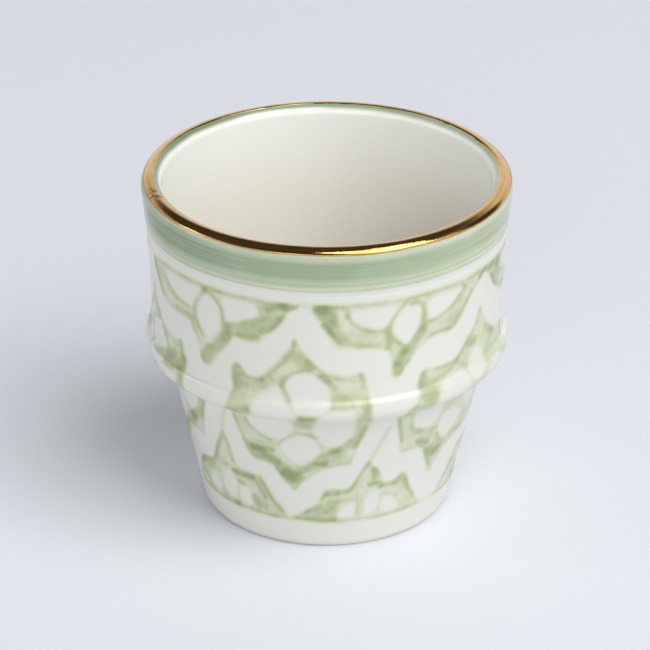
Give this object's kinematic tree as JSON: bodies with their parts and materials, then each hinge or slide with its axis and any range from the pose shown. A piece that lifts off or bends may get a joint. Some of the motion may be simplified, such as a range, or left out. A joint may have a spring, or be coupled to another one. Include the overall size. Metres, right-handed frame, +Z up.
{
  "type": "ceramic cup",
  "caption": "Handleless ceramic cup with a tapered lower part, a ridge round the middle, a flared upper wall with painted star ornament, a green band and a gilded round lip.",
  "frame": {"origin": "centre of the foot ring's underside, on the surface that the cup stands on", "axes": "+Z up along the cup's axis; -Y towards the side that the picture shows"},
  "size_m": [0.07, 0.07, 0.0679],
  "materials": {
    "clay": "matte",
    "white_glaze": "gloss",
    "cream_glaze": "gloss",
    "sage_glaze": "gloss",
    "gilding": "polished",
    "green_paint": "gloss"
  },
  "bodies": {
    "root": {"clay_body": "clay", "outer_glaze": "white_glaze", "inner_glaze": "cream_glaze", "rim_band": "sage_glaze", "gold_rim": "gilding", "upper_border": "green_paint", "lower_border": "green_paint", "star_1": "green_paint", "star_2": "green_paint", "star_3": "green_paint", "star_4": "green_paint", "star_5": "green_paint"}
  },
  "joints": []
}
